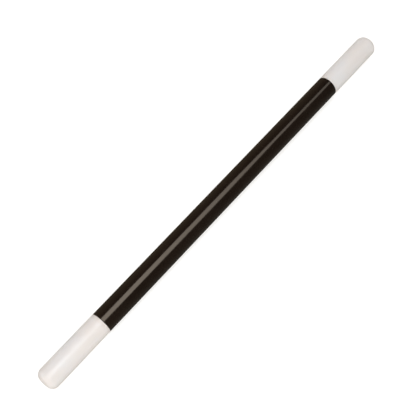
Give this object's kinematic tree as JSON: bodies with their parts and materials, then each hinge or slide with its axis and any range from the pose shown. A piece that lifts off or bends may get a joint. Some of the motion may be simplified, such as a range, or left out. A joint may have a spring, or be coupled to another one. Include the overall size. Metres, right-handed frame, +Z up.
{
  "type": "magic wand",
  "caption": "Straight round magician's wand: a glossy black hollow barrel, flush with the white round-edged tip pushed into each end.",
  "frame": {"origin": "on the ground under the middle of the wand, which lies on its side", "axes": "+X along the wand towards far_tip, +Y across it, +Z up; the wand's own axis is 8 mm above the origin"},
  "size_m": [0.35, 0.016, 0.016],
  "materials": {
    "black_plastic": "glossy warm black, extruded, with fine lines along the tube and light handling scratches",
    "white_plastic": "satin off-white, moulded, slightly translucent"
  },
  "bodies": {
    "barrel": {"barrel": "black_plastic"},
    "near_tip": {"near_tip": "white_plastic"},
    "far_tip": {"far_tip": "white_plastic"}
  },
  "joints": [
    {"name": "near_tip_pull", "type": "slide", "parent": "barrel", "child": "near_tip", "axis": [-1, 0, 0], "range_m": [0, 0.022]},
    {"name": "far_tip_pull", "type": "slide", "parent": "barrel", "child": "far_tip", "axis": [1, 0, 0], "range_m": [0, 0.022]}
  ]
}
